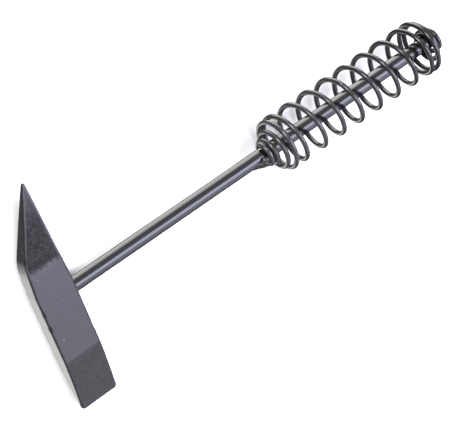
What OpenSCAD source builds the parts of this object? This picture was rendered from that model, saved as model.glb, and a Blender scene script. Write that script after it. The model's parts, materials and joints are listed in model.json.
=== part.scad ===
// All-steel chipping hammer with an open spring grip.
// A flat forged head carries a pick at one end and a cross chisel at the other.
// A round rod is fixed in a blind socket in the head, and one coil of wire is
// wound round the rod's far part as the grip, welded to the rod at both ends.
// The hammer lies on its side, as it does on a bench: the lower outer edge of
// the head and the first full coil of the grip touch the plane z = 0.
// Inside lying_down() the rod's axis is X, the pick points to +Y, and the
// origin is where the rod's axis crosses the middle of the head.

/* [Head] */
// Width of the flat bar that the head is forged from
head_w = 25; // [20:0.5:30]
// Thickness of that bar
head_t = 10.8; // [9:0.1:14]
// Length of the pick half, from the rod's axis to the tip
pick_len = 69.2; // [60:0.1:80]
// Distance from the rod's axis to the bend where the pick's outer side slopes in
pick_bend = 22; // [18:0.5:26]
// Lean of the pick's outer side towards the rod, in degrees
pick_angle = 25.8; // [24:0.1:27]
// Thickness of the pick at its tip
pick_tip_t = 2; // [1:0.1:3]
// Length of the chisel half, from the rod's axis to the edge
chisel_len = 70; // [60:0.5:80]
// Distance from the rod's axis to where the chisel starts to thin
chisel_start = 36; // [30:1:45]
// Thickness of the chisel's edge
chisel_edge_t = 1.6; // [0.8:0.1:3]
// Radius of the chisel's two corners
chisel_corner = 2; // [0.5:0.1:3]
// Depth of the blind socket for the rod
socket_depth = 18; // [14:0.5:20]

/* [Rod] */
// Diameter of the round rod
rod_d = 9; // [8:0.1:10]
// Distance from the middle of the head to the rod's free end
rod_end = 294; // [290:1:300]
// Chamfer on the rod's free end
rod_chamfer = 0.8; // [0.2:0.1:1.5]

/* [Spring grip] */
// Diameter of the spring wire
wire_d = 3.2; // [2.8:0.1:3.2]
// Radius of the full coils, to the wire's centre line
coil_r = 16; // [14:0.1:18]
// Radius of the first, small coil, to the wire's centre line
front_r = 7.2; // [7:0.1:9]
// Radius of the last, small coil, to the wire's centre line
rear_r = 6.8; // [6.4:0.1:8]
// Distance from the middle of the head to the start of the wire
spring_start = 153.9; // [150:0.1:158]
// Number of turns in the whole grip
spring_turns = 15.4; // [14.9:0.1:15.4]
// Advance of each full coil
coil_pitch = 14.8; // [13.5:0.05:15]
// Advance of each coil in the closed front end
front_pitch = 3.7; // [3.4:0.1:4.5]
// Advance of each coil in the closed rear end
rear_pitch = 3.3; // [3.3:0.1:3.4]

/* [Welds] */
// Leg of the fillet weld round the rod at the head
fillet_leg = 1.4; // [0.8:0.1:2]
// Radius of the weld lumps that hold the spring
weld_r = 2; // [1.6:0.1:2.4]

/* [Hidden] */
// clearance between the rod and what is fitted or welded to it
joint_gap = 0.02;
rod_r = rod_d / 2;
wire_r = wire_d / 2;
head_x = head_w / 2;
head_z = head_t / 2;

// Turns, counted from the wire's start, over which the radius and the pitch change
grow_from = 0.85;
grow_to = 3.4;
open_from = 3.25;
open_to = 4.6;
close_from = 10.6;
close_to = 12.2;
shrink_from = 12.5;
shrink_to = 14.2;

// Smooth 0 to 1 step, and its integral
function eased(u) = let (v = min(max(u, 0), 1)) v * v * (3 - 2 * v);
function eased_sum(u) = let (v = min(max(u, 0), 1)) v * v * v * (1 - v / 2) + max(u - 1, 0);
function step_of(t, from, to) = eased((t - from) / (to - from));
function sum_of(t, from, to) = (to - from) * eased_sum((t - from) / (to - from));

// The wire's centre line after t turns: radius, distance along the rod, and point
function wire_radius(t) = front_r + (coil_r - front_r) * step_of(t, grow_from, grow_to)
    - (coil_r - rear_r) * step_of(t, shrink_from, shrink_to);
function wire_x(t) = spring_start + front_pitch * t
    + (coil_pitch - front_pitch) * sum_of(t, open_from, open_to)
    - (coil_pitch - rear_pitch) * sum_of(t, close_from, close_to);
function wire_point(t) = [wire_x(t), wire_radius(t) * cos(360 * t), wire_radius(t) * sin(360 * t)];

// One ring of points round the wire, square to its run
wire_sides = 10;
rings_per_turn = 24;
function unit(v) = v / norm(v);
function wire_ring(t) = let (
        small = 0.002,
        along = unit(wire_point(t + small) - wire_point(t - small)),
        out = [0, cos(360 * t), sin(360 * t)],
        side_a = unit(out - along * (along * out)),
        side_b = cross(along, side_a)
    )
    [for (i = [0 : wire_sides - 1]) let (a = 360 * i / wire_sides)
        wire_point(t) + wire_r * (side_a * cos(a) + side_b * sin(a))];

// How the hammer lies: it tips until the head's lower outer edge is level with
// the lowest point of the first full coil, a quarter turn before its top.
lowest_turn = 3.75;
contact_x = wire_x(lowest_turn);
contact_drop = wire_radius(lowest_turn) + wire_r - head_z;
lie_angle = atan(contact_drop / (contact_x + head_x));
lie_lift = head_x * sin(lie_angle) + head_z * cos(lie_angle);
x_low = -head_x * cos(lie_angle) - head_z * sin(lie_angle);
x_high = rod_end * cos(lie_angle) + (rod_r - rod_chamfer) * sin(lie_angle);
x_shift = -(x_low + x_high) / 2;
y_shift = (chisel_len - pick_len) / 2;

// Head outline: points on the inner side, the tip, the outer side and the edge
tip_x = 9.7;
tip_r = 1.1;
pick_inner_y = 30;
pick_inner_in = 1.2;
narrowing_y = 7;
bend_in = 1.1;
bend_r = 20;
function arc(centre, r, from, to, n) = [for (i = [0 : n])
    centre + r * [cos(from + (to - from) * i / n), sin(from + (to - from) * i / n)]];

// Half thickness of the head at a distance y from the rod's axis
taper_steps = 8;
pick_taper_power = 1.5;
chisel_taper_power = 1.3;
pick_taper_start = 20;
function pick_half_t(u) = head_z - (head_z - pick_tip_t / 2) * pow(u, pick_taper_power);
function chisel_half_t(u) = head_z - (head_z - chisel_edge_t / 2) * pow(u, chisel_taper_power);

module lying_down() {
    translate([x_shift, y_shift, lie_lift])
        rotate([0, -lie_angle, 0])
            children();
}

// Face of the head as seen square to its cheek
module head_outline() {
    corner_x = head_x - chisel_corner;
    corner_y = -chisel_len + chisel_corner;
    tip = [tip_x, pick_len - tip_r];
    bend_start = [-head_x + bend_in, pick_bend];
    bend_centre = bend_start + [bend_r, 0];
    polygon(concat(
        arc([-corner_x, corner_y], chisel_corner, 180, 270, 4),
        arc([corner_x, corner_y], chisel_corner, 270, 360, 4),
        [[head_x, narrowing_y], [head_x - pick_inner_in, pick_inner_y]],
        arc(tip, tip_r, 0, 180 - pick_angle, 5),
        arc(bend_centre, bend_r, 180 - pick_angle, 180, 5),
        [[-head_x, narrowing_y]]
    ));
}

// Side of the head, which gives its thickness from edge to tip
module head_thickness() {
    pick_run = pick_len - pick_taper_start;
    chisel_run = chisel_len - chisel_start;
    upper = concat(
        [for (i = [taper_steps : -1 : 0]) let (u = i / taper_steps)
            [-chisel_start - chisel_run * u, chisel_half_t(u)]],
        [for (i = [0 : taper_steps]) let (u = i / taper_steps)
            [pick_taper_start + pick_run * u, pick_half_t(u)]]
    );
    lower = [for (i = [len(upper) - 1 : -1 : 0]) [upper[i].x, -upper[i].y]];
    polygon(concat(upper, lower));
}

module hammer_head() {
    color("dimgray")
        lying_down()
            difference() {
                intersection() {
                    translate([0, 0, -head_z])
                        linear_extrude(head_t)
                            head_outline();
                    translate([-head_w, 0, 0])
                        rotate([90, 0, 90])
                            linear_extrude(2 * head_w)
                                head_thickness();
                }
                translate([head_x - socket_depth, 0, 0])
                    rotate([0, 90, 0])
                        cylinder(h = socket_depth + 1, r = rod_r + joint_gap, $fn = 64);
            }
}

// Fillet weld round the rod where it leaves the head
module head_weld() {
    inner_r = rod_r + joint_gap;
    color("dimgray")
        lying_down()
            translate([head_x, 0, 0])
                rotate([0, 90, 0])
                    rotate_extrude($fn = 64)
                        polygon([
                            [inner_r, 0],
                            [inner_r + fillet_leg, 0],
                            [inner_r + fillet_leg * 0.7, fillet_leg * 0.5],
                            [inner_r + fillet_leg * 0.25, fillet_leg],
                            [inner_r, fillet_leg]
                        ]);
}

module handle_rod() {
    start = head_x - socket_depth + joint_gap;
    straight = rod_end - rod_chamfer - start;
    color("black")
        lying_down()
            translate([start, 0, 0])
                rotate([0, 90, 0])
                    rotate_extrude($fn = 64)
                        polygon([
                            [0, 0],
                            [rod_r, 0],
                            [rod_r, straight],
                            [rod_r - rod_chamfer, straight + rod_chamfer],
                            [0, straight + rod_chamfer]
                        ]);
}

module grip_spring() {
    steps = round(spring_turns * rings_per_turn);
    rings = [for (i = [0 : steps]) wire_ring(spring_turns * i / steps)];
    skin = [for (i = [0 : steps - 1], j = [0 : wire_sides - 1])
        let (k = (j + 1) % wire_sides, a = i * wire_sides)
        [a + j, a + k, a + wire_sides + k, a + wire_sides + j]];
    first_cap = [for (j = [wire_sides - 1 : -1 : 0]) j];
    last_cap = [for (j = [0 : wire_sides - 1]) steps * wire_sides + j];
    color("black")
        lying_down()
            polyhedron([for (ring = rings) each ring], concat(skin, [first_cap, last_cap]), convexity = 20);
}

// Weld that fans out along the underside of the rod and backs the wire's first coil
module front_weld() {
    from = 97;
    to = 193;
    inner_r = rod_r + joint_gap;
    run = 4.4 * weld_r;
    face_x = wire_x(from / 360) - wire_r - joint_gap;
    color("dimgray")
        lying_down()
            translate([face_x - run, 0, 0])
                rotate([0, 90, 0])
                    rotate([0, 0, from + 90])
                        rotate_extrude(angle = to - from, $fn = 64)
                            polygon([
                                [inner_r, 0],
                                [inner_r + 0.25 * weld_r, 0],
                                [inner_r + 0.9 * weld_r, 0.45 * run],
                                [inner_r + 1.6 * weld_r, 0.85 * run],
                                [inner_r + 1.6 * weld_r, run],
                                [inner_r, run]
                            ]);
}

// Tack at the wire's last end, on the far side of the rod
module rear_weld() {
    end_angle = 360 * spring_turns;
    end_x = wire_x(spring_turns);
    lump_r = 0.75 * weld_r;
    height = rod_r + 0.8 * lump_r;
    past_end = asin(lump_r / height);
    color("dimgray")
        lying_down()
            difference() {
                union() {
                    for (i = [0, 1]) let (angle = end_angle + past_end + 3 + 11 * i) {
                        translate([end_x + 0.2, height * cos(angle), height * sin(angle)])
                            sphere(r = lump_r * (1 - 0.2 * i), $fn = 32);
                    }
                }
                rotate([0, 90, 0])
                    cylinder(h = rod_end + 2 * head_w, r = rod_r + joint_gap, $fn = 64);
            }
}

hammer_head();
head_weld();
handle_rod();
grip_spring();
front_weld();
rear_weld();
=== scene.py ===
"""All-steel chipping hammer with an open spring grip, lying on its side.

Run as a script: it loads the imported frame, makes every piece in metres in that
frame, and sets up the studio round it.
"""

import json
import math

import bmesh
import bpy
from bpy.props import FloatProperty, FloatVectorProperty, PointerProperty
from mathutils import Matrix, Vector, noise


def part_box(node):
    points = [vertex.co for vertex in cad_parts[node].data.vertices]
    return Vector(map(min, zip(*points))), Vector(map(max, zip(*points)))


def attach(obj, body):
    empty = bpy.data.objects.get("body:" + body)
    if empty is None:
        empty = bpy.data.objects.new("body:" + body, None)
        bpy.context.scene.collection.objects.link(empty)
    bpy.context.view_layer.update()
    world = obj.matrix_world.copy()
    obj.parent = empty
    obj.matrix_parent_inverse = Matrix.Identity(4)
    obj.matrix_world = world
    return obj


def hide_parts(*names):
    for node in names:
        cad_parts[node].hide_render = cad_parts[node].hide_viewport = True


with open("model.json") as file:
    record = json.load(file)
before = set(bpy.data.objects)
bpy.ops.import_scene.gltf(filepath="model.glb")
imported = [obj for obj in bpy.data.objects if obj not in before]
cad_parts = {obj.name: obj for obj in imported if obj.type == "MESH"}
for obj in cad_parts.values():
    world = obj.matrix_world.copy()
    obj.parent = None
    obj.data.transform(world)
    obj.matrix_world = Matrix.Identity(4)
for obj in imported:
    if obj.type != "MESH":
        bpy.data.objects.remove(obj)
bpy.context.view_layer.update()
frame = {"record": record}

bl_info = {
    "name": "Chipping hammer",
    "version": (1, 0, 0),
    "blender": (4, 5, 0),
    "location": "3D View > Sidebar > Hammer",
    "description": "Makes an all-steel chipping hammer with a spring grip",
    "category": "Add Mesh",
}

MM = 0.001
PER_METRE = 1000.0
BODY = "root"


# ---------------------------------------------------------------- the frame


def hammer_axes():
    """Matrix from the hammer's own axes to the row frame: rod along X, pick along Y, cheek along Z."""
    head = bpy.context.scene.hammer_head
    cheek = next(m for m in frame["record"]["mounts"] if m["name"] == "lower_cheek")
    down = Vector(cheek["axis"])
    lean = math.atan2(down.x, -down.z)
    head_low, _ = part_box("hammer_head")
    rod_low, rod_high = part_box("handle_rod")
    half_width, half_thick = head.width / 2, head.thickness / 2
    reach = half_width * math.cos(lean) + half_thick * math.sin(lean)
    rise = half_width * math.sin(lean) + half_thick * math.cos(lean)
    middle_y = (rod_low.y + rod_high.y) / 2
    turn = Matrix.Rotation(-lean, 4, "Y")
    return Matrix.Translation((head_low.x + reach, middle_y, head_low.z + rise)) @ turn


# ---------------------------------------------------------------- settings


def length(name, description, default):
    return FloatProperty(name=name, description=description, default=default, unit="LENGTH", precision=5)


def angle(name, description, degrees):
    return FloatProperty(name=name, description=description, default=math.radians(degrees), subtype="ANGLE")


def watts(name, description, default):
    return FloatProperty(name=name, description=description, default=default, unit="POWER")


def paint_colour(name, description, default):
    return FloatVectorProperty(
        name=name, description=description, default=default, subtype="COLOR", size=3, min=0.0, max=1.0
    )


class HeadSettings(bpy.types.PropertyGroup):
    width: length("Bar width", "Width of the flat bar that the head is forged from", 0.025)
    thickness: length("Bar thickness", "Thickness of that bar", 0.0108)
    pick_length: length("Pick length", "From the rod's axis to the pick's tip", 0.0692)
    chisel_length: length("Chisel length", "From the rod's axis to the chisel's edge", 0.070)
    edge_round: length("Edge rounding", "Radius of the head's long edges", 0.0007)
    socket_radius: length("Socket radius", "Radius of the blind socket for the rod", 0.00452)
    paint: paint_colour("Paint", "Colour of the paint on the flat bar", (0.0075, 0.0072, 0.0090))
    scale: paint_colour("Forge scale", "Colour of the hammered pick", (0.0080, 0.0078, 0.0078))


class RodSettings(bpy.types.PropertyGroup):
    radius: length("Rod radius", "Radius of the round rod", 0.0045)
    end: length("Rod end", "From the middle of the head to the rod's free end", 0.294)
    start: length("Rod start", "From the middle of the head back to the rod's foot in the socket", -0.00548)
    chamfer: length("Chamfer", "Chamfer on the rod's free end", 0.0008)
    paint: paint_colour("Paint", "Colour of the gloss paint on the rod", (0.0065, 0.0065, 0.0080))


class SpringSettings(bpy.types.PropertyGroup):
    wire_radius: length("Wire radius", "Radius of the spring wire", 0.0016)
    coil_radius: length("Coil radius", "Radius of the full coils, to the wire's centre line", 0.016)
    front_radius: length("Front radius", "Radius of the first, small coil", 0.0072)
    rear_radius: length("Rear radius", "Radius of the last, small coil", 0.0068)
    start: length("Start", "From the middle of the head to the start of the wire", 0.1539)
    turns: FloatProperty(name="Turns", description="Turns in the whole grip", default=15.4)
    pitch: length("Pitch", "Advance of each full coil", 0.0148)
    front_pitch: length("Front pitch", "Advance of each coil in the closed front end", 0.0037)
    rear_pitch: length("Rear pitch", "Advance of each coil in the closed rear end", 0.0033)
    paint: paint_colour("Paint", "Colour of the gloss paint on the wire", (0.0070, 0.0068, 0.0078))
    # Paint toward the head, lighter and greyer: painted light, standing in for the sheen on the front coils
    front_painted_light: paint_colour("Front painted light", "Colour of the paint toward the head", (0.030, 0.029, 0.031))


class WeldSettings(bpy.types.PropertyGroup):
    lump: length("Lump radius", "Radius of the largest weld lumps", 0.0020)
    fillet: length("Fillet", "Leg of the fillet weld at the head", 0.0012)
    grain: length("Grain", "Cell size that the lumps are fused at", 0.00022)
    paint: paint_colour("Paint", "Colour of the paint over the weld metal", (0.0070, 0.0068, 0.0078))


class StudioSettings(bpy.types.PropertyGroup):
    distance: length("Camera distance", "From the camera to the point it looks at", 1.1943)
    azimuth: angle("Camera azimuth", "Turn round the hammer", -135.2264)
    elevation: angle("Camera elevation", "Height above the floor", 49.4007)
    roll: angle("Camera roll", "Turn about the line of sight", 105.9407)
    lens: FloatProperty(
        name="Lens", description="Focal length on a 36 mm wide film", default=164.53, unit="CAMERA"
    )
    aim: FloatVectorProperty(
        name="Camera aim",
        description="Point that the camera looks at",
        default=(-0.021373, -0.024516, 0.008),
        subtype="TRANSLATION",
        unit="LENGTH",
        precision=5,
    )
    floor_size: length("Floor size", "Side of the square floor", 8.0)
    floor_colour: paint_colour("Floor", "Colour of the pale floor", (0.81, 0.81, 0.82))
    strip_power: watts("Strip light", "Power of the overhead strip", 72.0)
    bank_power: watts("Bank light", "Power of the bank beside it", 5.0)
    tail_power: watts("Tail light", "Power of the lowest bank", 11.0)
    key_power: watts("Key light", "Power of the low light beyond the pick", 60.0)
    air: FloatProperty(name="Room light", description="Brightness of the pale room", default=1.0)
    under: FloatProperty(
        name="Under light", description="Brightness that reflections see below the floor", default=0.25
    )


# ---------------------------------------------------------------- shader maths


class Link:
    """One output of a material's nodes, which sums and comparisons can be written with."""

    def __init__(self, finish, socket):
        self.finish = finish
        self.socket = socket

    def math(self, operation, first, second):
        return self.finish.node("Math", {"operation": operation}, {0: first, 1: second})

    def __add__(self, other):
        return self.math("ADD", self, other)

    def __radd__(self, other):
        return self.math("ADD", other, self)

    def __sub__(self, other):
        return self.math("SUBTRACT", self, other)

    def __rsub__(self, other):
        return self.math("SUBTRACT", other, self)

    def __mul__(self, other):
        return self.math("MULTIPLY", self, other)

    def __rmul__(self, other):
        return self.math("MULTIPLY", other, self)

    def larger(self, other):
        return self.math("MAXIMUM", self, other)

    def below(self, other):
        """1 where this is less than the other, and 0 elsewhere."""
        return self.math("LESS_THAN", self, other)

    def ramp(self, low, high, to_low=0.0, to_high=1.0):
        """Eases from one value to another as this goes from low to high."""
        return self.finish.node(
            "MapRange",
            {"interpolation_type": "SMOOTHSTEP"},
            {"Value": self, "From Min": low, "From Max": high, "To Min": to_low, "To Max": to_high},
        )


class Nodes:
    """The nodes of a finish or of the room, under construction."""

    def __init__(self, tree):
        self.tree = tree
        self.tree.nodes.clear()

    def node(self, kind, settings, inputs, output=0):
        made = self.tree.nodes.new("ShaderNode" + kind)
        for key, value in settings.items():
            setattr(made, key, value)
        for key, value in inputs.items():
            if isinstance(value, Link):
                self.tree.links.new(value.socket, made.inputs[key])
            else:
                made.inputs[key].default_value = value
        return Link(self, made.outputs[output])

    def close(self, kind, shader):
        """Joins the last shader to the output."""
        out = self.tree.nodes.new("ShaderNodeOutput" + kind)
        self.tree.links.new(shader.socket, out.inputs["Surface"])


class Finish(Nodes):
    """A painted finish under construction."""

    def __init__(self, name):
        self.material = bpy.data.materials.new(name)
        self.material.use_nodes = True
        super().__init__(self.material.node_tree)
        self.place = self.node("TexCoord", {}, {}, "Object")

    def along(self, axis):
        """The place on the piece along one of the row's axes, in millimetres."""
        return self.node("SeparateXYZ", {}, {0: self.place}, axis) * PER_METRE

    def stretched(self, x, y, z):
        return self.node("VectorMath", {"operation": "MULTIPLY"}, {0: self.place, 1: (x, y, z)})

    def grain(self, size_mm, detail=3.0, rough=0.55, where=None, skew=0.0):
        """Soft noise between 0 and 1 with grains of about this size."""
        return self.node(
            "TexNoise",
            {},
            {
                "Vector": where or self.place,
                "Scale": PER_METRE / size_mm,
                "Detail": detail,
                "Roughness": rough,
                "Distortion": skew,
            },
        )

    def specks(self, spacing_mm, radius, share):
        """Round specks on a loose grid: 1 at the centre of each. Only a share of the cells holds one."""
        where = {"Vector": self.place, "Scale": PER_METRE / spacing_mm}
        near = self.node("TexVoronoi", {"feature": "F1"}, where, "Distance")
        cell = self.node("TexVoronoi", {"feature": "F1"}, where, "Color")
        chance = self.node("SeparateColor", {}, {0: cell}, "Red")
        return near.ramp(radius, radius * 0.4) * chance.below(share)

    def mix(self, first, second, factor):
        """Colour that goes from the first to the second as factor goes from 0 to 1."""
        colours = {"Factor": factor, 6: first, 7: second}
        return self.node("Mix", {"data_type": "RGBA"}, colours, 2)

    def mask(self, name):
        """A number between 0 and 1 that the piece's own mesh carries."""
        return self.node("Attribute", {"attribute_name": name}, {}, "Fac")

    def bump(self, height, depth_mm):
        return self.node("Bump", {}, {"Height": height, "Distance": depth_mm * MM})

    def coat(self, **sockets):
        """One shader. Keys are its sockets with _ for a space."""
        return self.node("BsdfPrincipled", {}, {k.replace("_", " "): v for k, v in sockets.items()}, "BSDF")

    def done(self, shader):
        self.close("Material", shader)
        return self.material


def rgba(colour, gain=1.0):
    """A setting's colour as a shader takes it, made lighter or darker by gain."""
    return (colour[0] * gain, colour[1] * gain, colour[2] * gain, 1.0)


STEEL = (0.32, 0.31, 0.30, 1.0)
DUST = (0.35, 0.35, 0.36, 1.0)


def head_paint(head, pick_from, chisel_from):
    """Satin black on the bar, dull mottled forge scale on the pick, duller ground facets on the chisel.

    The last two are the places along the row's Y axis where the scale and the facets begin, in millimetres.
    """
    paint = Finish("head_satin_black")
    y = paint.along("Y")
    cloud = paint.grain(9.0, 4.0)
    mottle = paint.grain(2.6, 5.0, 0.65, skew=0.4)
    fine = paint.grain(0.5, 3.0)
    crumbs = paint.grain(0.9, 4.0, 0.7)
    # Where each finish lies: the scale's boundary is ragged, and the facets' is a soft line
    ragged = y + (mottle - 0.5) * 7.0 + (crumbs - 0.5) * 6.0
    pick = ragged.ramp(pick_from - 2.0, pick_from + 2.6)
    tip = y.ramp(pick_from + 22.0, pick_from + 44.0)
    ground = y.ramp(chisel_from + 1.6, chisel_from - 1.6)
    cheeks = paint.mask("cheek_side")
    worn = paint.mask("edge_wear")
    dust = paint.specks(6.5, 0.10, 0.35)
    pits = paint.specks(4.2, 0.16, 0.30)
    relief = cloud * 0.25 + fine * 0.04 - pits * 0.7 + dust * 0.3
    # The satin paint
    colour = paint.mix(rgba(head.paint, 0.80), rgba(head.paint, 1.25), cloud)
    colour = paint.mix(colour, rgba(head.paint, 0.25), pits * 0.8)
    colour = paint.mix(colour, DUST, dust * 0.55)
    satin = paint.coat(
        Base_Color=colour,
        Roughness=0.25 + (cloud - 0.5) * 0.08 + (fine - 0.5) * 0.05 + pits * 0.15,
        Normal=paint.bump(relief, 0.12),
    )
    # The scale
    scale = paint.mix(rgba(head.scale, 0.2), rgba(head.scale, 1.8), mottle.ramp(0.40, 0.62))
    scale = paint.mix(scale, rgba(head.scale, 6.0), crumbs.ramp(0.52, 0.72))
    scale = paint.mix(scale, DUST, dust * 0.4)
    dull = paint.coat(
        Base_Color=scale,
        Roughness=0.46 + (mottle - 0.5) * 0.2,
        Normal=paint.bump(relief + mottle * 0.8 + crumbs * 0.3 + fine * 0.16, 0.12),
        Specular_IOR_Level=0.08,
    )
    # How much of the dull scale shows over the satin
    on_pick = pick * (0.55 + cheeks * 0.41) * (1.0 - tip * 0.25) * (1.0 - worn * 0.8)
    on_edges = (1.0 - pick) * worn * 0.55
    on_chisel = ground * cheeks * 0.42
    dulled = on_pick + on_edges.larger(on_chisel)
    return paint.done(paint.node("MixShader", {}, {0: dulled, 1: satin, 2: dull}))


def rod_paint(rod):
    """Gloss black with faint drawn lines under it and a few nicks."""
    paint = Finish("rod_gloss_black")
    lines = paint.grain(1.0, 2.0, where=paint.stretched(0.02, 1.0, 1.0))
    cloud = paint.grain(7.0, 3.0)
    orange_peel = paint.grain(1.1, 2.0)
    nicks = paint.specks(9.0, 0.09, 0.4)
    colour = paint.mix(rgba(rod.paint, 0.7), rgba(rod.paint, 1.3), cloud)
    colour = paint.mix(colour, STEEL, nicks * 0.5)
    roughness = 0.13 + (cloud - 0.5) * 0.06 + (lines - 0.5) * 0.05 + nicks * 0.3
    relief = orange_peel * 0.35 + lines * 0.2 - nicks * 0.5
    return paint.done(paint.coat(Base_Color=colour, Roughness=roughness, Normal=paint.bump(relief, 0.035)))


def spring_paint(spring):
    """Gloss black over drawn wire, duller toward the head, and painted lighter and greyer there: a painted
    sheen for the light on the front coils.
    """
    paint = Finish("spring_gloss_black")
    cloud = paint.grain(5.0, 4.0)
    peel = paint.grain(0.8, 3.0)
    nicks = paint.specks(6.0, 0.10, 0.35)
    low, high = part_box("grip_spring")
    rear = paint.along("X").ramp(low.x / MM, high.x / MM)
    # Painted light: the wire's colour goes lighter toward the head, a painted sheen for the light on the
    # front coils
    tone = paint.mix(rgba(spring.front_painted_light), rgba(spring.paint), rear)
    colour = paint.mix(tone, rgba(spring.paint, 0.6), cloud * 0.5)
    colour = paint.mix(colour, STEEL, nicks * 0.45)
    roughness = 0.20 - rear * 0.03 + (cloud - 0.5) * 0.12 + nicks * 0.3
    relief = peel * 0.5 - nicks * 0.5
    return paint.done(paint.coat(Base_Color=colour, Roughness=roughness, Normal=paint.bump(relief, 0.03)))


def weld_paint(weld):
    """Gloss black over rough weld metal, with pores."""
    paint = Finish("weld_gloss_black")
    lumps = paint.grain(1.3, 4.0, 0.6, skew=0.5)
    fine = paint.grain(0.35, 3.0)
    pores = paint.specks(1.3, 0.22, 0.35)
    colour = paint.mix(rgba(weld.paint, 0.5), rgba(weld.paint, 1.8), lumps)
    colour = paint.mix(colour, rgba(weld.paint, 0.2), pores)
    roughness = 0.24 + (lumps - 0.5) * 0.25 + pores * 0.3
    relief = lumps * 0.9 + fine * 0.25 - pores * 0.8
    return paint.done(paint.coat(Base_Color=colour, Roughness=roughness, Normal=paint.bump(relief, 0.12)))


def floor_finish(studio):
    """Matt pale card."""
    card = Finish("pale_card")
    cloud = card.grain(400.0, 2.0)
    colour = card.mix(rgba(studio.floor_colour, 0.98), rgba(studio.floor_colour, 1.02), cloud)
    return card.done(card.coat(Base_Color=colour, Roughness=0.8, Specular_IOR_Level=0.2))


# ---------------------------------------------------------------- mesh tools


def add_object(name, data):
    """Puts a mesh, a light or a camera into the scene."""
    made = bpy.data.objects.new(name, data)
    bpy.context.scene.collection.objects.link(made)
    return made


def dress(piece, material):
    """Smooth shading and one material all over."""
    for face in piece.data.polygons:
        face.use_smooth = True
    piece.data.materials.clear()
    piece.data.materials.append(material)


def mesh_of(name, shell):
    """Turns a finished edit mesh into a mesh."""
    mesh = bpy.data.meshes.new(name)
    shell.to_mesh(mesh)
    shell.free()
    return mesh


def add_piece(name, points, faces, material):
    """A closed piece from its points and faces, with every face turned outward."""
    mesh = bpy.data.meshes.new(name)
    mesh.from_pydata(points, [], faces)
    mesh.validate()
    shell = bmesh.new()
    shell.from_mesh(mesh)
    bmesh.ops.recalc_face_normals(shell, faces=shell.faces)
    shell.to_mesh(mesh)
    shell.free()
    piece = add_object(name, mesh)
    dress(piece, material)
    return piece


def set_mask(piece, name, values):
    """Stores one number per vertex for the material to read."""
    mask = piece.data.attributes.new(name, "FLOAT", "POINT")
    mask.data.foreach_set("value", values)


def ring_faces(rings, sides):
    """Faces of a tube with closed ends, whose points come in rings of equal size."""
    faces = []
    for i in range(rings - 1):
        for j in range(sides):
            k = (j + 1) % sides
            faces.append((i * sides + j, i * sides + k, (i + 1) * sides + k, (i + 1) * sides + j))
    faces.append(tuple(reversed(range(sides))))
    faces.append(tuple(range((rings - 1) * sides, rings * sides)))
    return faces


def apply_modifiers(piece):
    """Turns the piece's modifiers into its mesh."""
    graph = bpy.context.evaluated_depsgraph_get()
    graph.update()
    baked = bpy.data.meshes.new_from_object(piece.evaluated_get(graph))
    old = piece.data
    piece.modifiers.clear()
    piece.data = baked
    bpy.data.meshes.remove(old)


def cut_with(piece, cutter):
    """Cuts one closed piece out of another and removes the cutter."""
    cut = piece.modifiers.new("cut", "BOOLEAN")
    cut.operation = "DIFFERENCE"
    cut.solver = "EXACT"
    cut.object = cutter
    apply_modifiers(piece)
    bpy.data.objects.remove(cutter)


def ease(u):
    """Goes smoothly from 0 to 1 as u does."""
    v = min(max(u, 0.0), 1.0)
    return v * v * (3.0 - 2.0 * v)


def ease_sum(u):
    """The integral of ease from 0 to u."""
    v = min(max(u, 0.0), 1.0)
    return v**3 * (1.0 - v / 2.0) + max(u - 1.0, 0.0)


def finish_piece(piece, slot, *nodes):
    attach(piece, BODY)
    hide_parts(*nodes)


# ---------------------------------------------------------------- the head

# The head's outline in metres: places along it from the rod's axis, and its radii, tapers and offsets
NARROWS_FROM = 0.007
BEND_FROM = 0.022
BEND_RADIUS = 0.020
BEND_IN = 0.0011
PICK_LEAN = math.radians(25.8)
PICK_TIP_X = 0.0097
PICK_TIP_RADIUS = 0.0011
PICK_THINS_FROM = 0.020
CHISEL_THINS_FROM = 0.036
CHISEL_CORNER = 0.002
PICK_TIP_HALF = 0.001
PICK_END_ROUND = 0.0006
CHISEL_EDGE_HALF = 0.0008
CHISEL_END_ROUND = 0.0004
INNER_BEND_FROM = 0.030
INNER_BEND_IN = 0.0012
SOCKET_BOTTOM = -0.0055


def outer_side(y, head):
    """How far the head reaches on the side away from the grip, at y along it."""
    half = head.width / 2
    tip_y = head.pick_length - PICK_TIP_RADIUS
    bend_x = -half + BEND_IN + BEND_RADIUS
    if y < CHISEL_CORNER - head.chisel_length:
        drop = y - (CHISEL_CORNER - head.chisel_length)
        return -(half - CHISEL_CORNER) - math.sqrt(max(CHISEL_CORNER**2 - drop**2, 0.0))
    if y <= NARROWS_FROM:
        return -half
    if y <= BEND_FROM:
        return -half + BEND_IN * (y - NARROWS_FROM) / (BEND_FROM - NARROWS_FROM)
    bend_to = BEND_FROM + BEND_RADIUS * math.sin(PICK_LEAN)
    if y <= bend_to:
        return bend_x - math.sqrt(BEND_RADIUS**2 - (y - BEND_FROM) ** 2)
    start_x = bend_x - BEND_RADIUS * math.cos(PICK_LEAN)
    tip_from = tip_y + PICK_TIP_RADIUS * math.sin(PICK_LEAN)
    if y <= tip_from:
        tip_x = PICK_TIP_X - PICK_TIP_RADIUS * math.cos(PICK_LEAN)
        return start_x + (tip_x - start_x) * (y - bend_to) / (tip_from - bend_to)
    return PICK_TIP_X - math.sqrt(max(PICK_TIP_RADIUS**2 - (y - tip_y) ** 2, 0.0))


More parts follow.
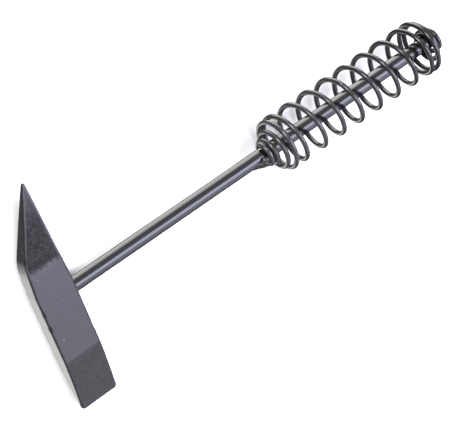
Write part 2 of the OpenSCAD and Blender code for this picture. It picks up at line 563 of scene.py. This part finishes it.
def inner_side(y, head):
    """How far the head reaches on the side of the grip, at y along it."""
    half = head.width / 2
    tip_y = head.pick_length - PICK_TIP_RADIUS
    if y < CHISEL_CORNER - head.chisel_length:
        return -outer_side(y, head)
    if y <= NARROWS_FROM:
        return half
    if y <= INNER_BEND_FROM:
        return half - INNER_BEND_IN * (y - NARROWS_FROM) / (INNER_BEND_FROM - NARROWS_FROM)
    if y <= tip_y:
        start_x = half - INNER_BEND_IN
        end_x = PICK_TIP_X + PICK_TIP_RADIUS
        return start_x + (end_x - start_x) * (y - INNER_BEND_FROM) / (tip_y - INNER_BEND_FROM)
    return PICK_TIP_X + math.sqrt(max(PICK_TIP_RADIUS**2 - (y - tip_y) ** 2, 0.0))


def half_thickness(y, head):
    """Half the head's thickness at y along it: both ends thin along a soft curve."""
    full = head.thickness / 2
    if y > PICK_THINS_FROM:
        u = (y - PICK_THINS_FROM) / (head.pick_length - PICK_THINS_FROM)
        return full - (full - PICK_TIP_HALF) * u**1.5
    if y < -CHISEL_THINS_FROM:
        u = (-CHISEL_THINS_FROM - y) / (head.chisel_length - CHISEL_THINS_FROM)
        return full - (full - CHISEL_EDGE_HALF) * u**1.3
    return full


def end_round(distance, radius):
    """How much the faces draw in near an end, at a distance from it."""
    if distance >= radius:
        return 0.0
    return radius - math.sqrt(max(radius**2 - (radius - distance) ** 2, 0.0))


# Steps on each flat side and round each corner of a ring, and how much they gather at the corners
ACROSS_CHEEK, ACROSS_SIDE, ROUND_CORNER = 44, 18, 6
GATHER = 0.35
# How fast the wear fades off an edge, and how much a rounded corner counts as cheek
WEAR_FADE = 0.35 * MM
CORNER_CHEEK = 0.5
CORNERS = ((1, 1), (-1, 1), (-1, -1), (1, -1))


def section(y, head):
    """One ring of the head: points (x, z), how near each is to a long edge, and 1 on the cheeks."""
    x_low, x_high = outer_side(y, head), inner_side(y, head)
    thick = half_thickness(y, head)
    thick -= end_round(head.pick_length - y, PICK_END_ROUND)
    thick -= end_round(y + head.chisel_length, CHISEL_END_ROUND)
    middle, wide = (x_low + x_high) / 2, (x_high - x_low) / 2
    bevel = min(head.edge_round, 0.7 * thick, 0.7 * wide)
    ring = []
    for n, (sx, sz) in enumerate(CORNERS):
        centre = (middle + sx * (wide - bevel), sz * (thick - bevel))
        start = n * math.pi / 2
        for i in range(ROUND_CORNER + 1):
            a = start + math.pi / 2 * i / ROUND_CORNER
            spot = (centre[0] + bevel * math.cos(a), centre[1] + bevel * math.sin(a))
            ring.append((*spot, 1.0, CORNER_CHEEK))
        next_x, next_z = CORNERS[(n + 1) % 4]
        goal = (middle + next_x * (wide - bevel), next_z * (thick - bevel))
        goal_a = start + math.pi / 2
        goal = (goal[0] + bevel * math.cos(goal_a), goal[1] + bevel * math.sin(goal_a))
        here = (ring[-1][0], ring[-1][1])
        on_cheek = n % 2 == 0
        steps = ACROSS_CHEEK if on_cheek else ACROSS_SIDE
        span = math.dist(here, goal)
        for i in range(1, steps):
            u = ease(i / steps) * GATHER + (i / steps) * (1.0 - GATHER)
            near = min(u, 1.0 - u) * span
            wear = math.exp(-near / WEAR_FADE)
            spot = (here[0] + (goal[0] - here[0]) * u, here[1] + (goal[1] - here[1]) * u)
            ring.append((*spot, wear, float(on_cheek)))
    return ring


# Gaps between the rings at the head's ends and in its middle, and how far in from each end they widen
END_GAP = 0.12 * MM
MIDDLE_GAP = 0.62 * MM
END_ZONE = 2.5 * MM


def stations(low, high):
    """Places along the head, closer together near its two ends."""
    places, y = [], low
    while y < high:
        places.append(y)
        near = min(y - low, high - y)
        y += END_GAP + (MIDDLE_GAP - END_GAP) * ease(near / END_ZONE)
    places.append(high)
    return places


# Nicks on the long edges: side (x, z), place along the head, depth and half length, in millimetres
NICKS = (
    (-1, 1, -12.5, 0.55, 1.3),
    (-1, 1, -3.0, 0.30, 2.2),
    (-1, 1, -41.0, 0.25, 1.0),
    (-1, 1, 31.0, 0.22, 1.6),
    (-1, 1, -66.5, 0.35, 1.1),
    (1, 1, -25.0, 0.25, 1.4),
    (1, 1, 45.0, 0.20, 1.2),
    (-1, -1, -28.0, 0.35, 1.5),
    (-1, -1, 12.0, 0.30, 1.1),
    (1, -1, -52.0, 0.30, 1.3),
)


def nick_depth(x, z, y, middle):
    """How deep the long edges are nicked at a point, in metres."""
    deep = 0.0
    for side_x, side_z, place, depth, half in NICKS:
        if (x - middle) * side_x > 0 and z * side_z > 0:
            away = (y / MM - place) / half
            deep += depth * math.exp(-away * away)
    return deep * MM


# Unevenness all over the head, from slow waves and quick ones: waves a metre, depth on the bar and what the
# hammered pick adds, in millimetres
SLOW_WAVES, SLOW_DEPTH, SLOW_HAMMERED = 95.0, 0.05, 0.07
QUICK_WAVES, QUICK_DEPTH, QUICK_HAMMERED = 330.0, 0.012, 0.045
QUICK_START = Vector((5.0, 1.0, 3.0))
# Where the hammered part starts along the head, and the length it comes in over, in metres
HAMMERED_FROM, HAMMERED_OVER = 0.018, 0.008
# The long edges are rougher: waves a metre, depth in millimetres, and the least wear that counts as an edge
EDGE_WAVES, EDGE_DEPTH, EDGE_LEAST = 700.0, 0.07, 0.02


def waves(spot, per_metre, start=Vector()):
    """Soft unevenness between 0 and 1."""
    return noise.noise(spot * per_metre + start) * 0.5 + 0.5


def dent_depth(spot):
    """How far the surface lies below the plain shape at a point on the head, in metres."""
    hammered = ease((spot.y - HAMMERED_FROM) / HAMMERED_OVER)
    slow = (SLOW_DEPTH + SLOW_HAMMERED * hammered) * waves(spot, SLOW_WAVES)
    quick = (QUICK_DEPTH + QUICK_HAMMERED * hammered) * waves(spot, QUICK_WAVES, QUICK_START)
    return (slow + quick) * MM


def forge_head(head):
    """The forged head, with soft edges, nicks and the dents of the hammer on its pick."""
    ys = stations(-head.chisel_length, head.pick_length)
    place = hammer_axes()
    points, wear, cheeks = [], [], []
    for y in ys:
        ring = section(y, head)
        middle = (outer_side(y, head) + inner_side(y, head)) / 2
        for x, z, near_edge, on_cheek in ring:
            inward = -Vector((x - middle, 0.0, z * 2.0)).normalized()
            spot = Vector((x, y, z))
            shift = inward * dent_depth(spot)
            if near_edge > EDGE_LEAST:
                ragged = EDGE_DEPTH * MM * waves(spot, EDGE_WAVES)
                shift += inward * (nick_depth(x, z, y, middle) + ragged) * near_edge
            points.append(place @ (spot + shift))
            wear.append(near_edge)
            cheeks.append(on_cheek)
    axis_y = place.translation.y
    material = head_paint(head, (axis_y + BEND_FROM) / MM, (axis_y - CHISEL_THINS_FROM) / MM)
    piece = add_piece("forged_head", points, ring_faces(len(ys), len(ring)), material)
    set_mask(piece, "edge_wear", wear)
    set_mask(piece, "cheek_side", cheeks)
    bore = turned_rod("socket_cutter", head.socket_radius, SOCKET_BOTTOM, head.width, material)
    cut_with(piece, bore)
    finish_piece(piece, "head_paint", "hammer_head")


# ---------------------------------------------------------------- rod and spring


ROD_SIDES = 96
ROD_RING_GAP = 1.2 * MM
# The rod's surface wanders in long waves: waves a metre, how much longer they are along the rod, and how
# far below the nominal surface their middle lies, as a share of their height
ROD_WAVES, ROD_STRETCH, ROD_BELOW = 160.0, 4.0, 0.4


def turned_rod(name, radius, start, end, material, tip=(), wander=0.0):
    """A round bar along the hammer's X axis. The tip lists (x, radius) past its straight part."""
    steps = round((end - start) / ROD_RING_GAP)
    rows = [(start + (end - start) * i / steps, radius) for i in range(steps + 1)]
    rows += tip
    place = hammer_axes()
    points = []
    for x, r in rows:
        for j in range(ROD_SIDES):
            a = 2 * math.pi * j / ROD_SIDES
            spot = Vector((x / ROD_STRETCH, math.cos(a) * r, math.sin(a) * r))
            thick = r + wander * (noise.noise(spot * ROD_WAVES) - ROD_BELOW)
            points.append(place @ Vector((x, math.cos(a) * thick, math.sin(a) * thick)))
    return add_piece(name, points, ring_faces(len(rows), ROD_SIDES), material)


# Turns, counted from the wire's start, over which the radius and the pitch change
GROWS = (0.85, 3.4)
OPENS = (3.25, 4.6)
CLOSES = (10.6, 12.2)
SHRINKS = (12.5, 14.2)


def share_of(t, turns):
    """How much of a change is done after t turns, from 0 to 1."""
    return ease((t - turns[0]) / (turns[1] - turns[0]))


def sum_of(t, turns):
    """The sum of that share over the turns so far."""
    return (turns[1] - turns[0]) * ease_sum((t - turns[0]) / (turns[1] - turns[0]))


def wire_centre(t, spring):
    """Point on the wire's centre line after t turns."""
    radius = spring.front_radius + (spring.coil_radius - spring.front_radius) * share_of(t, GROWS)
    radius -= (spring.coil_radius - spring.rear_radius) * share_of(t, SHRINKS)
    opened, closed = sum_of(t, OPENS), sum_of(t, CLOSES)
    x = spring.start + spring.front_pitch * t
    x += (spring.pitch - spring.front_pitch) * opened - (spring.pitch - spring.rear_pitch) * closed
    a = 2 * math.pi * t
    return Vector((x, radius * math.cos(a), radius * math.sin(a)))


WIRE_SIDES = 20
RINGS_PER_TURN = 64
# The wire's two cut ends round off over this many rings, down to this share of the radius
CUT_RINGS, CUT_SHARE = 4, 0.72
# Turns either side of a place that the wire's direction is taken over
LOOK_TURNS = 0.002
# The coat is a little uneven and stays inside the wire's nominal surface: waves a metre, their height, and
# how many heights below that surface their middle lies
COAT_WAVES, COAT_DEPTH, COAT_BELOW = 420.0, 0.025 * MM, 2.2


def wind_spring(spring):
    """The grip: one round wire, closed and small at both ends and open between them."""
    rings = round(spring.turns * RINGS_PER_TURN)
    place = hammer_axes()
    points = []
    for i in range(rings + 1):
        t = spring.turns * i / rings
        centre = wire_centre(t, spring)
        along = (wire_centre(t + LOOK_TURNS, spring) - wire_centre(t - LOOK_TURNS, spring)).normalized()
        out = Vector((0.0, math.cos(2 * math.pi * t), math.sin(2 * math.pi * t)))
        side_a = (out - along * along.dot(out)).normalized()
        side_b = along.cross(side_a)
        from_end = min(i, rings - i, CUT_RINGS)
        draw_in = CUT_SHARE + (1.0 - CUT_SHARE) * math.sin(math.pi / 2 * from_end / CUT_RINGS)
        for j in range(WIRE_SIDES):
            a = 2 * math.pi * j / WIRE_SIDES
            lie = side_a * math.cos(a) + side_b * math.sin(a)
            spot = centre + lie * spring.wire_radius
            coat = COAT_DEPTH * (noise.noise(spot * COAT_WAVES) - COAT_BELOW)
            points.append(place @ (centre + lie * (spring.wire_radius + coat) * draw_in))
    piece = add_piece("spring_wire", points, ring_faces(rings + 1, WIRE_SIDES), spring_paint(spring))
    finish_piece(piece, "spring_paint", "grip_spring")


# ---------------------------------------------------------------- welds


# The skin of the weld metal: waves a metre and height in millimetres, for its coarse and its fine grain
COARSE_WAVES, COARSE_HEIGHT = 900.0, 0.14
FINE_WAVES, FINE_HEIGHT = 2100.0, 0.06


def fuse_lumps(name, lumps, weld, material):
    """Weld metal: lumps (x, angle, height, radius) round the rod's axis, fused, softened and roughened."""
    shell = bmesh.new()
    for x, angle, height, radius in lumps:
        centre = Matrix.Translation((x, height * math.cos(angle), height * math.sin(angle)))
        bmesh.ops.create_icosphere(shell, subdivisions=3, radius=radius, matrix=centre)
    piece = add_object(name, mesh_of(name, shell))
    fuse = piece.modifiers.new("fuse", "REMESH")
    fuse.mode = "VOXEL"
    fuse.voxel_size = weld.grain
    soften = piece.modifiers.new("soften", "SMOOTH")
    soften.iterations = 3
    soften.factor = 0.5
    apply_modifiers(piece)
    place = hammer_axes()
    for v in piece.data.vertices:
        rough = noise.noise(v.co * COARSE_WAVES) * COARSE_HEIGHT
        rough += noise.noise(v.co * FINE_WAVES) * FINE_HEIGHT
        v.co = place @ (v.co + v.normal * rough * MM)
    dress(piece, material)
    return piece


def jitter(i, spread):
    """A fixed small offset for lump number i."""
    return spread * noise.noise(Vector((i * 1.7, 3.1, 0.4)))


# The front weld, a fan of rows of lumps under the rod. Its length, its height at the foot, what the height
# grows by, and the smallest lump and what the lumps grow by are all in radii of the largest lump.
FAN_LENGTH = 4.2
FAN_FOOT, FAN_RISE = 0.15, 1.45
FAN_SMALLEST, FAN_GROWTH = 0.42, 0.42
# Rows, lumps in the narrowest row, and lumps that the widest one adds
FAN_ROWS, FAN_FEWEST, FAN_ADDED = 7, 3, 4
FAN_BEFORE_WIRE = 1.0 * MM
# Degrees round the rod, from the pick's side: the fan's middle, and how far its first and last rows spread
FAN_MIDDLE, FAN_FIRST_SPREAD, FAN_LAST_SPREAD = 142.0, 20.0, 50.0


def front_lumps(weld, rod_radius, wire_start):
    """Weld that fans out along the underside of the rod and backs the first coils."""
    lumps, count = [], 0
    for i in range(FAN_ROWS):
        share = (i + 0.5) / FAN_ROWS
        radius = weld.lump * (FAN_SMALLEST + FAN_GROWTH * share)
        wide = FAN_FEWEST + round(FAN_ADDED * share)
        spread = FAN_FIRST_SPREAD + (FAN_LAST_SPREAD - FAN_FIRST_SPREAD) * share
        top = rod_radius + weld.lump * (FAN_FOOT + FAN_RISE * share)
        row_x = wire_start - FAN_BEFORE_WIRE - FAN_LENGTH * weld.lump * (1.0 - share)
        for j in range(wide):
            count += 1
            angle = FAN_MIDDLE + jitter(count, 6.0) + spread * (2 * j / (wide - 1) - 1)
            size = radius * (1.0 + jitter(count + 9, 0.35))
            height = top - size + jitter(count + 40, 0.5 * MM)
            lumps.append((row_x + jitter(count + 80, 0.7 * MM), math.radians(angle), height, size))
    return lumps


# The rear tack: its largest lump in radii of the largest weld lump, and its seat above the rod in radii of
# that one. Then its lumps: past the wire's end along the rod, angle past it, and height off the seat, in
# metres and radians, and size as a share of the largest.
REAR_SIZE, REAR_SEAT = 0.72, 0.8
REAR_TACK = (
    (0.2 * MM, 0.24, 0.0, 1.0),
    (0.2 * MM, 0.45, -0.2 * MM, 0.85),
    (-0.2 * MM, 0.08, -0.6 * MM, 0.75),
)


def rear_lumps(weld, spring, rod_radius):
    """Tack where the wire's last end meets the rod."""
    end = wire_centre(spring.turns, spring)
    angle = math.atan2(end.z, end.y)
    size = weld.lump * REAR_SIZE
    seat = rod_radius + size * REAR_SEAT
    return [(end.x + past, angle + turn, seat + lift, size * share) for past, turn, lift, share in REAR_TACK]


def head_lumps(weld, head, rod_radius):
    """Small fillet bead round the rod where it leaves the head."""
    beads = 34
    x = head.width / 2 - 0.1 * MM
    lumps = []
    for i in range(beads):
        radius = weld.fillet * (0.46 + jitter(i + 200, 0.18))
        lumps.append((x, 2 * math.pi * i / beads, rod_radius + radius * 0.25, radius))
    return lumps


# ---------------------------------------------------------------- studio


# Soft lights: name, direction, distance, size, the setting that holds its power, and colour
LIGHTS = (
    ("strip", (0.397, -0.064, 0.916), 2.0, (1.8, 1.30), "strip_power", (0.74, 0.76, 1.0)),
    ("bank", (0.397, -0.445, 0.803), 2.0, (1.8, 0.52), "bank_power", (0.76, 0.74, 1.0)),
    ("tail", (0.397, -0.713, 0.578), 2.0, (1.8, 1.06), "tail_power", (0.80, 0.80, 1.0)),
    ("key", (-0.55, 0.65, 0.52), 2.5, (0.9, 0.9), "key_power", (1.0, 0.98, 0.95)),
)
LIGHTS_AIM = Vector((0.0, 0.0, 0.01))

# Pale boards round the set: direction, half angle of the even part and width of its soft edge in degrees,
# and brightness
BOARDS = (
    ((0.397, 0.81, -0.43), 24.0, 14.0, 6.8),
    ((-0.397, -0.45, -0.80), 12.0, 12.0, 3.0),
)
ROOM_COLOUR = (1.0, 0.99, 0.98, 1.0)
HORIZON_SOFT = 0.05

# The floor is flat up to this share of its half side. Past it the floor dips by the second number, in
# metres, times the square of the share that is left.
FLOOR_FLAT, FLOOR_DIP = 0.35, 0.02
FILM_WIDTH = 36.0


def aimed(aim, side, up, back, distance):
    """Matrix of a light or a camera that looks at a point, with its own axes given."""
    return Matrix.Translation(aim + back * distance) @ Matrix((side, up, back)).transposed().to_4x4()


def soft_box(name, toward, distance, size, power, colour):
    """A soft rectangular light in a given direction from the hammer. One side is square to the Y axis."""
    lamp = bpy.data.lights.new(name, "AREA")
    lamp.shape = "RECTANGLE"
    lamp.size, lamp.size_y = size
    lamp.energy = power
    lamp.color = colour
    light = add_object(name, lamp)
    back = Vector(toward).normalized()
    side = Vector((0.0, 1.0, 0.0)).cross(back).normalized()
    light.matrix_world = aimed(LIGHTS_AIM, side, back.cross(side), back, distance)
    light.visible_camera = False


def pale_floor(studio):
    """A wide sheet of pale card that lies flat under the hammer and dips a little far away."""
    half, cells = studio.floor_size / 2, 48
    shell = bmesh.new()
    bmesh.ops.create_grid(shell, x_segments=cells, y_segments=cells, size=half)
    for v in shell.verts:
        away = max(0.0, v.co.xy.length / half - FLOOR_FLAT)
        v.co.z = -FLOOR_DIP * away * away
    floor = add_object("pale_floor", mesh_of("pale_floor", shell))
    dress(floor, floor_finish(studio))
    floor.visible_glossy = False


def light_room(studio):
    """A plain pale room, dimmer below the floor, with two pale boards set low for the reflections."""
    world = bpy.data.worlds.new("pale_room")
    bpy.context.scene.world = world
    world.use_nodes = True
    room = Nodes(world.node_tree)
    look = room.node("TexCoord", {}, {}, "Generated")
    height = room.node("SeparateXYZ", {}, {0: look}, 2)
    glow = height.ramp(-HORIZON_SOFT, HORIZON_SOFT, studio.under, studio.air)
    for toward, wide, soft, gain in BOARDS:
        middle = Vector(toward).normalized()
        near = room.node("VectorMath", {"operation": "DOT_PRODUCT"}, {0: look, 1: middle}, 1)
        glow = glow + near.ramp(math.cos(math.radians(wide + soft)), math.cos(math.radians(wide)), 0.0, gain)
    room.close("World", room.node("Background", {}, {"Color": ROOM_COLOUR, "Strength": glow}))
    world.cycles.sampling_method = "NONE"


def place_camera(studio):
    """A long lens from above the head, turned about its line of sight."""
    az, el = studio.azimuth, studio.elevation
    back = Vector((math.sin(az) * math.cos(el), -math.cos(az) * math.cos(el), math.sin(el)))
    right = Vector((0.0, 0.0, 1.0)).cross(back).normalized()
    up = back.cross(right)
    turned = right * math.cos(studio.roll) + up * math.sin(studio.roll)
    lens = bpy.data.cameras.new("camera")
    lens.lens = studio.lens
    lens.sensor_width = FILM_WIDTH
    lens.clip_start, lens.clip_end = 0.05, 50.0
    camera = add_object("camera", lens)
    camera.matrix_world = aimed(Vector(studio.aim), turned, back.cross(turned), back, studio.distance)
    bpy.context.scene.camera = camera


# ---------------------------------------------------------------- operators


class HAMMER_OT_head(bpy.types.Operator):
    """Forge the head"""

    bl_idname = "hammer.head"
    bl_label = "Forged head"

    def execute(self, context):
        forge_head(context.scene.hammer_head)
        return {"FINISHED"}


class HAMMER_OT_rod(bpy.types.Operator):
    """Fit the round rod in the head's socket"""

    bl_idname = "hammer.rod"
    bl_label = "Round rod"

    def execute(self, context):
        rod = context.scene.hammer_rod
        soft_corner = (rod.end - rod.chamfer * 0.4, rod.radius - rod.chamfer * 0.35)
        tip = (soft_corner, (rod.end, rod.radius - rod.chamfer))
        straight_to = rod.end - rod.chamfer
        piece = turned_rod(
            "painted_rod", rod.radius, rod.start, straight_to, rod_paint(rod), tip, wander=0.05 * MM
        )
        finish_piece(piece, "rod_paint", "handle_rod")
        return {"FINISHED"}


class HAMMER_OT_spring(bpy.types.Operator):
    """Wind the spring grip"""

    bl_idname = "hammer.spring"
    bl_label = "Spring grip"

    def execute(self, context):
        wind_spring(context.scene.hammer_spring)
        return {"FINISHED"}


class HAMMER_OT_welds(bpy.types.Operator):
    """Lay the three welds that hold the rod and the wire"""

    bl_idname = "hammer.welds"
    bl_label = "Welds"

    def execute(self, context):
        scene = context.scene
        weld, rod, spring = scene.hammer_weld, scene.hammer_rod, scene.hammer_spring
        paint = weld_paint(weld)
        front = fuse_lumps("front_weld_bead", front_lumps(weld, rod.radius, spring.start), weld, paint)
        finish_piece(front, "weld_paint", "front_weld")
        rear = fuse_lumps("rear_weld_tack", rear_lumps(weld, spring, rod.radius), weld, paint)
        finish_piece(rear, "weld_paint", "rear_weld")
        foot = fuse_lumps("head_weld_fillet", head_lumps(weld, scene.hammer_head, rod.radius), weld, paint)
        finish_piece(foot, "weld_paint", "head_weld")
        return {"FINISHED"}


class HAMMER_OT_studio(bpy.types.Operator):
    """Set up the pale floor, the soft lights and the camera"""

    bl_idname = "hammer.studio"
    bl_label = "Studio"

    def execute(self, context):
        studio = context.scene.hammer_studio
        pale_floor(studio)
        light_room(studio)
        for name, toward, distance, size, power, colour in LIGHTS:
            soft_box(name, toward, distance, size, getattr(studio, power), colour)
        place_camera(studio)
        view = context.scene.view_settings
        view.view_transform = "Standard"
        view.look = "None"
        return {"FINISHED"}


class HAMMER_PT_panel(bpy.types.Panel):
    """The hammer's pieces, in the order they are made"""

    bl_idname = "HAMMER_PT_panel"
    bl_label = "Chipping hammer"
    bl_space_type = "VIEW_3D"
    bl_region_type = "UI"
    bl_category = "Hammer"

    def draw(self, context):
        for name, settings in STEPS:
            self.layout.operator("hammer." + name)
            group = getattr(context.scene, settings)
            for key in group.__annotations__:
                self.layout.prop(group, key)


# Each operator in the order it runs, and the settings that it reads
STEPS = (
    ("head", "hammer_head"),
    ("rod", "hammer_rod"),
    ("spring", "hammer_spring"),
    ("welds", "hammer_weld"),
    ("studio", "hammer_studio"),
)
SETTINGS = {
    "hammer_head": HeadSettings,
    "hammer_rod": RodSettings,
    "hammer_spring": SpringSettings,
    "hammer_weld": WeldSettings,
    "hammer_studio": StudioSettings,
}
CLASSES = (
    *SETTINGS.values(),
    HAMMER_OT_head,
    HAMMER_OT_rod,
    HAMMER_OT_spring,
    HAMMER_OT_welds,
    HAMMER_OT_studio,
    HAMMER_PT_panel,
)


def register():
    for kind in CLASSES:
        bpy.utils.register_class(kind)
    for name, kind in SETTINGS.items():
        setattr(bpy.types.Scene, name, PointerProperty(type=kind))


def unregister():
    for name in SETTINGS:
        delattr(bpy.types.Scene, name)
    for kind in reversed(CLASSES):
        bpy.utils.unregister_class(kind)


def main():
    register()
    for name, _ in STEPS:
        getattr(bpy.ops.hammer, name)()


if __name__ == "__main__":
    main()
